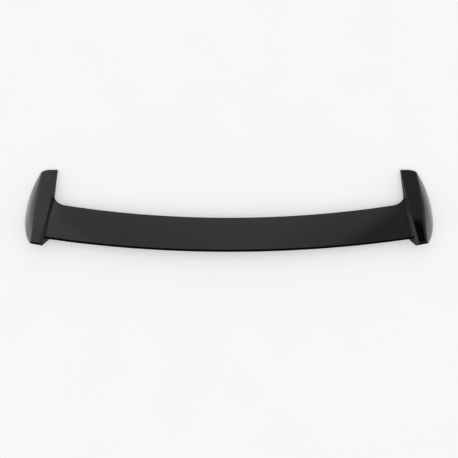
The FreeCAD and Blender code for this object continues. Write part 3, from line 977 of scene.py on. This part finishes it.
def noise(tree, scale, detail=2.0):
    """Noise in the object's own space."""
    where = tree.nodes.new("ShaderNodeTexCoord")
    node = tree.nodes.new("ShaderNodeTexNoise")
    node.inputs["Scale"].default_value = scale
    node.inputs["Detail"].default_value = detail
    tree.links.new(where.outputs["Object"], node.inputs["Vector"])
    return node.outputs["Fac"]


def spread(tree, factor, low, high):
    """A factor of noise, within its usual range, turned into a value from low to high."""
    node = tree.nodes.new("ShaderNodeMapRange")
    node.inputs["From Min"].default_value = NOISE_LOW
    node.inputs["From Max"].default_value = NOISE_HIGH
    node.inputs["To Min"].default_value = low
    node.inputs["To Max"].default_value = high
    tree.links.new(factor, node.inputs["Value"])
    return node.outputs[0]


def two_tone(tree, factor, dark, light):
    """Colour between two, by a factor. A Mix node's colour sockets share names, so they go by number."""
    node = tree.nodes.new("ShaderNodeMix")
    node.data_type = "RGBA"
    tree.links.new(factor, node.inputs[0])
    node.inputs[MIX_DARK].default_value = (*dark, 1)
    node.inputs[MIX_LIGHT].default_value = (*light, 1)
    return node.outputs[MIX_RESULT]


print("helpers:", noise.__name__, spread.__name__, two_tone.__name__)

# %% [markdown]
# The black: its base hardly scatters any light, so the tone of each face is what it mirrors. The polish
# varies by a few hundredths over some centimetres, and a bump of a hair's width gives the orange peel.

# %% Gloss black
DARK_BLACK, LIGHT_BLACK = (0.0018, 0.0018, 0.0018), (0.0032, 0.0032, 0.0033)
POLISHED, DULLER, PLASTIC_IOR = 0.025, 0.05, 1.5
TONE_SCALE, POLISH_SCALE = 9.0, 60.0
PEEL_SCALE, PEEL_DETAIL, PEEL_STRENGTH, PEEL_DEPTH = 450.0, 1.0, 0.03, 0.0002
tree, shader = shader_of(gloss)
black = two_tone(tree, noise(tree, TONE_SCALE), DARK_BLACK, LIGHT_BLACK)
tree.links.new(black, shader.inputs["Base Color"])
tree.links.new(spread(tree, noise(tree, POLISH_SCALE), POLISHED, DULLER), shader.inputs["Roughness"])
shader.inputs["IOR"].default_value = PLASTIC_IOR
peel = tree.nodes.new("ShaderNodeBump")
peel.inputs["Strength"].default_value = PEEL_STRENGTH
peel.inputs["Distance"].default_value = PEEL_DEPTH
tree.links.new(noise(tree, PEEL_SCALE, PEEL_DETAIL), peel.inputs["Height"])
tree.links.new(peel.outputs[0], shader.inputs["Normal"])
print("gloss black:", len(tree.nodes), "nodes")

# %% [markdown]
# The inserts are bare turned brass: a metal whose colour is in its reflection, duller than a polished one,
# with small changes of tone where hands and swarf have touched it.

# %% Turned brass
DARK_BRASS, LIGHT_BRASS = (0.60, 0.42, 0.17), (0.78, 0.58, 0.28)
TOUCH_SCALE, TURNING_SCALE = 300.0, 900.0
SMOOTHER, ROUGHER = 0.22, 0.38
tree, shader = shader_of(brass)
yellow = two_tone(tree, noise(tree, TOUCH_SCALE), DARK_BRASS, LIGHT_BRASS)
tree.links.new(yellow, shader.inputs["Base Color"])
shader.inputs["Metallic"].default_value = 1.0
tree.links.new(spread(tree, noise(tree, TURNING_SCALE), SMOOTHER, ROUGHER), shader.inputs["Roughness"])
print("brass:", len(tree.nodes), "nodes")

# %% [markdown]
# ## Stage and light
# The photograph looks like one taken on white paper under a soft tent: the top of the part mirrors a grey
# sky ahead of it, the left side is brighter than the right, and behind the camera it is dark, which turns
# the rear bevels black. Lamps could do this, but each would need a shape and a place. The world shader
# gives the tent straight away: a brightness for each direction, built from a few soft windows.

# %% Directions and soft steps
world = bpy.data.worlds.new("tent")
world.use_nodes = True
tree = world.node_tree
bpy.context.scene.world = world
where = tree.nodes.new("ShaderNodeTexCoord")
right, ahead, up = Field(tree, where.outputs["Generated"]).parts()
azimuth = right.math("ARCTAN2", ahead) * math.degrees(1)
elevation = up.between(-1.0, 1.0).math("ARCSINE") * math.degrees(1)


def rise(field, low, high):
    """Soft step from 0 at low to 1 at high."""
    node = field.tree.nodes.new("ShaderNodeMapRange")
    node.interpolation_type = "SMOOTHSTEP"
    field.tree.links.new(field.socket, node.inputs["Value"])
    node.inputs["From Min"].default_value = low
    node.inputs["From Max"].default_value = high
    return Field(field.tree, node.outputs[0])


def window(field, low, high, soft):
    """Soft window between low and high."""
    return rise(field, low - soft, low + soft) * rise(field, high - soft, high + soft).rest()


print("directions:", "azimuth from the front, to the right, and elevation, both in degrees")

# %% [markdown]
# The sky ahead is what the tops mirror: brighter on the left, a little dimmer in the middle of the left
# half, and darkest on the right. Further round both sides settle at one level, so that no seam shows
# behind. The zenith and the strips along both sides are brighter, as a tent's lit walls are. A step is
# written as the two azimuths it runs between and the change it makes. A strip is written as its span round
# the horizon and its span upwards, each with the softness of its edges, and the light it adds.

# %% Sky ahead, zenith and sides
SKY_LEFT, SKY_ROUND, ZENITH_GAIN = 0.92, 0.6, 0.45
SKY_STEPS = [(-18.5, -15.5, -0.20), (-12, 0, 0.10), (3, 12, -0.16), (12.5, 17, -0.32)]
SIDEWAYS, OVERHEAD = (70, 120), (48, 75)
STRIPS = [((-125, -45, 8), (-5, 5, 5), 0.2), ((40, 110, 8), (9, 24, 5), 0.35)]
changes = [rise(azimuth, low, high) * change for low, high, change in SKY_STEPS]
sky = sum(changes[1:], changes[0] + SKY_LEFT)
turned = rise(azimuth.math("ABSOLUTE"), *SIDEWAYS)
sky = sky * turned.rest() + turned * SKY_ROUND + rise(elevation, *OVERHEAD) * ZENITH_GAIN
for around, upwards, gain in STRIPS:
    sky = sky + window(azimuth, *around) * window(elevation, *upwards) * gain
print("sky:", len(tree.nodes), "nodes so far")

# %% [markdown]
# Two things in the room are dark. One stands ahead on the right and blackens the rear of the right fin's
# top; its edge is slanted so that the blade's end, which mirrors almost the same place, stays clear of it.
# The other is the room behind the camera, which the rear bevels mirror. The camera itself sees near white
# above the paper, whatever the part mirrors there. The paper takes a plainer light than the gloss does,
# stronger from behind, because in the photograph the soft shadow lies ahead of the blade as well as behind.

# %% Dark places, light for the paper, and white for the camera
BLACKOUT, BACKDROP = 0.97, 0.93
LIGHT_AHEAD, LIGHT_BEHIND = 0.24, 1.16
PATCH_LEVEL, PATCH_SLANT = 35.6, 0.49
PATCH_AROUND, PATCH_UPWARDS = (18.32, 21.5, 0.08), (34.65, 38.5, 0.1)
ROOM_SIDES, ROOM_TOP, LIGHT_TURN = (105, 135), (38, 60), (60, 120)
slanted = azimuth - (elevation - PATCH_LEVEL) * PATCH_SLANT
patch = window(slanted, *PATCH_AROUND) * window(elevation, *PATCH_UPWARDS)
behind = rise(azimuth.math("ABSOLUTE"), *ROOM_SIDES) * rise(elevation, *ROOM_TOP).rest()
sky = sky * (patch * -BLACKOUT + 1.0) * (behind * -BLACKOUT + 1.0)
rays = tree.nodes.new("ShaderNodeLightPath")
seen = Field(tree, rays.outputs["Is Camera Ray"])
mirrored = Field(tree, rays.outputs["Is Glossy Ray"])
paper_light = rise(azimuth.math("ABSOLUTE"), *LIGHT_TURN) * (LIGHT_BEHIND - LIGHT_AHEAD) + LIGHT_AHEAD
sky = sky * mirrored + paper_light * mirrored.rest()
sky = sky * seen.rest() + seen * BACKDROP
tree.links.new(sky.socket, tree.nodes["Background"].inputs["Strength"])
tree.nodes["Background"].inputs["Color"].default_value = (1, 1, 1, 1)
print("tent:", len(tree.nodes), "nodes")

# %% [markdown]
# The paper is a plain sheet, a little below the rims so that no faces share a plane. The camera sees it
# nearly white, with the part's shadow kept. In the gloss it carries painted light and painted shade: it
# glows whiter close beside the fins, which gives the skirts their gradient, and it is painted greyer
# between them, which keeps the inner walls dark. Each of these changes runs between two places, in metres
# from the middle. A large lamp on each side could do the same, but it would light the paper and wash out the
# shadow.

# %% Paper floor
FLOOR_SIZE, FLOOR_DROP = 12.0, 0.0003
PAPER_WHITE, PAPER_MOTTLE, MOTTLE_SCALE, PAPER_ROUGHNESS = 0.92, 0.04, 5.0, 0.9
CAMERA_GLOW, BESIDE_GLOW, FAR_LOSS, BETWEEN_SHADE = 0.28, 1.0, 0.5, 0.6
OUTSIDE, FURTHER_OUT, FORWARD = (0.50, 0.62), (0.61, 0.75), (-0.09, 0.04)
bpy.ops.mesh.primitive_plane_add(size=FLOOR_SIZE, location=(0, 0, -FLOOR_DROP))
floor = bpy.context.object
floor.name = "paper"
paper = bpy.data.materials.new("paper")
tree, shader = shader_of(paper)
rays = tree.nodes.new("ShaderNodeLightPath")
seen = Field(tree, rays.outputs["Is Camera Ray"])
mirrored = Field(tree, rays.outputs["Is Glossy Ray"])
across, along, _ = Field(tree, tree.nodes.new("ShaderNodeTexCoord").outputs["Object"]).parts()
aside = rise(across.math("ABSOLUTE"), *OUTSIDE)
white = Field(tree, noise(tree, MOTTLE_SCALE)) * PAPER_MOTTLE + PAPER_WHITE
# Painted shade: as mirrored in the gloss, the paper between the fins is darker, as if the part shaded it.
white = white * (mirrored * aside.rest() * -BETWEEN_SHADE + 1.0)
tree.links.new(white.socket, shader.inputs["Base Color"])
shader.inputs["Roughness"].default_value = PAPER_ROUGHNESS
shader.inputs["Specular IOR Level"].default_value = 0.0
shader.inputs["Emission Color"].default_value = (1, 1, 1, 1)
# Painted light: as mirrored in the gloss, the paper glows beside the fins, less further out and towards the
# rear.
near = rise(across.math("ABSOLUTE"), *FURTHER_OUT) * -FAR_LOSS + BESIDE_GLOW
glow = seen * CAMERA_GLOW + mirrored * aside * near * rise(along, *FORWARD)
tree.links.new(glow.socket, shader.inputs["Emission Strength"])
floor.data.materials.append(paper)
floor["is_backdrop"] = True
print("paper floor:", FLOOR_SIZE, "m")

# %% [markdown]
# ## Camera
# The photograph looks down steeply from behind, from about two metres. The elevation, distance and lens
# were found by matching the fins' tips, the lips and the blade's edges, so the render can be laid over it.

# %% Camera and view
CAMERA_ELEVATION = math.radians(65)
CAMERA_DISTANCE = 1.982
CAMERA_TARGET = Vector((0.0, -0.0796, 0.050))
FOCAL_PX, IMAGE_PX, SENSOR = 698.9, 458, 36.0
camera = bpy.data.objects.new("camera", bpy.data.cameras.new("camera"))
bpy.context.scene.collection.objects.link(camera)
back = Vector((0.0, -math.cos(CAMERA_ELEVATION), math.sin(CAMERA_ELEVATION)))
camera.location = CAMERA_TARGET + back * CAMERA_DISTANCE
camera.rotation_euler = (math.pi / 2 - CAMERA_ELEVATION, 0, 0)
camera.data.sensor_width = SENSOR
camera.data.lens = SENSOR * FOCAL_PX / IMAGE_PX
bpy.context.scene.camera = camera
bpy.context.scene.view_settings.view_transform = "Standard"
print("camera:", [round(c, 3) for c in camera.location], "lens", round(camera.data.lens, 1), "mm")

# %% [markdown]
# ## Size of the finished pieces
# Last, the box of the finished pieces is printed. The smooth mesh has to stay inside the solid's box, so
# that what is seen is never larger than what is simulated.

# %% Size of the finished pieces
low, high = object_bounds()
print("visual box, mm:", [round((b - a) * 1000, 1) for a, b in zip(low, high)])
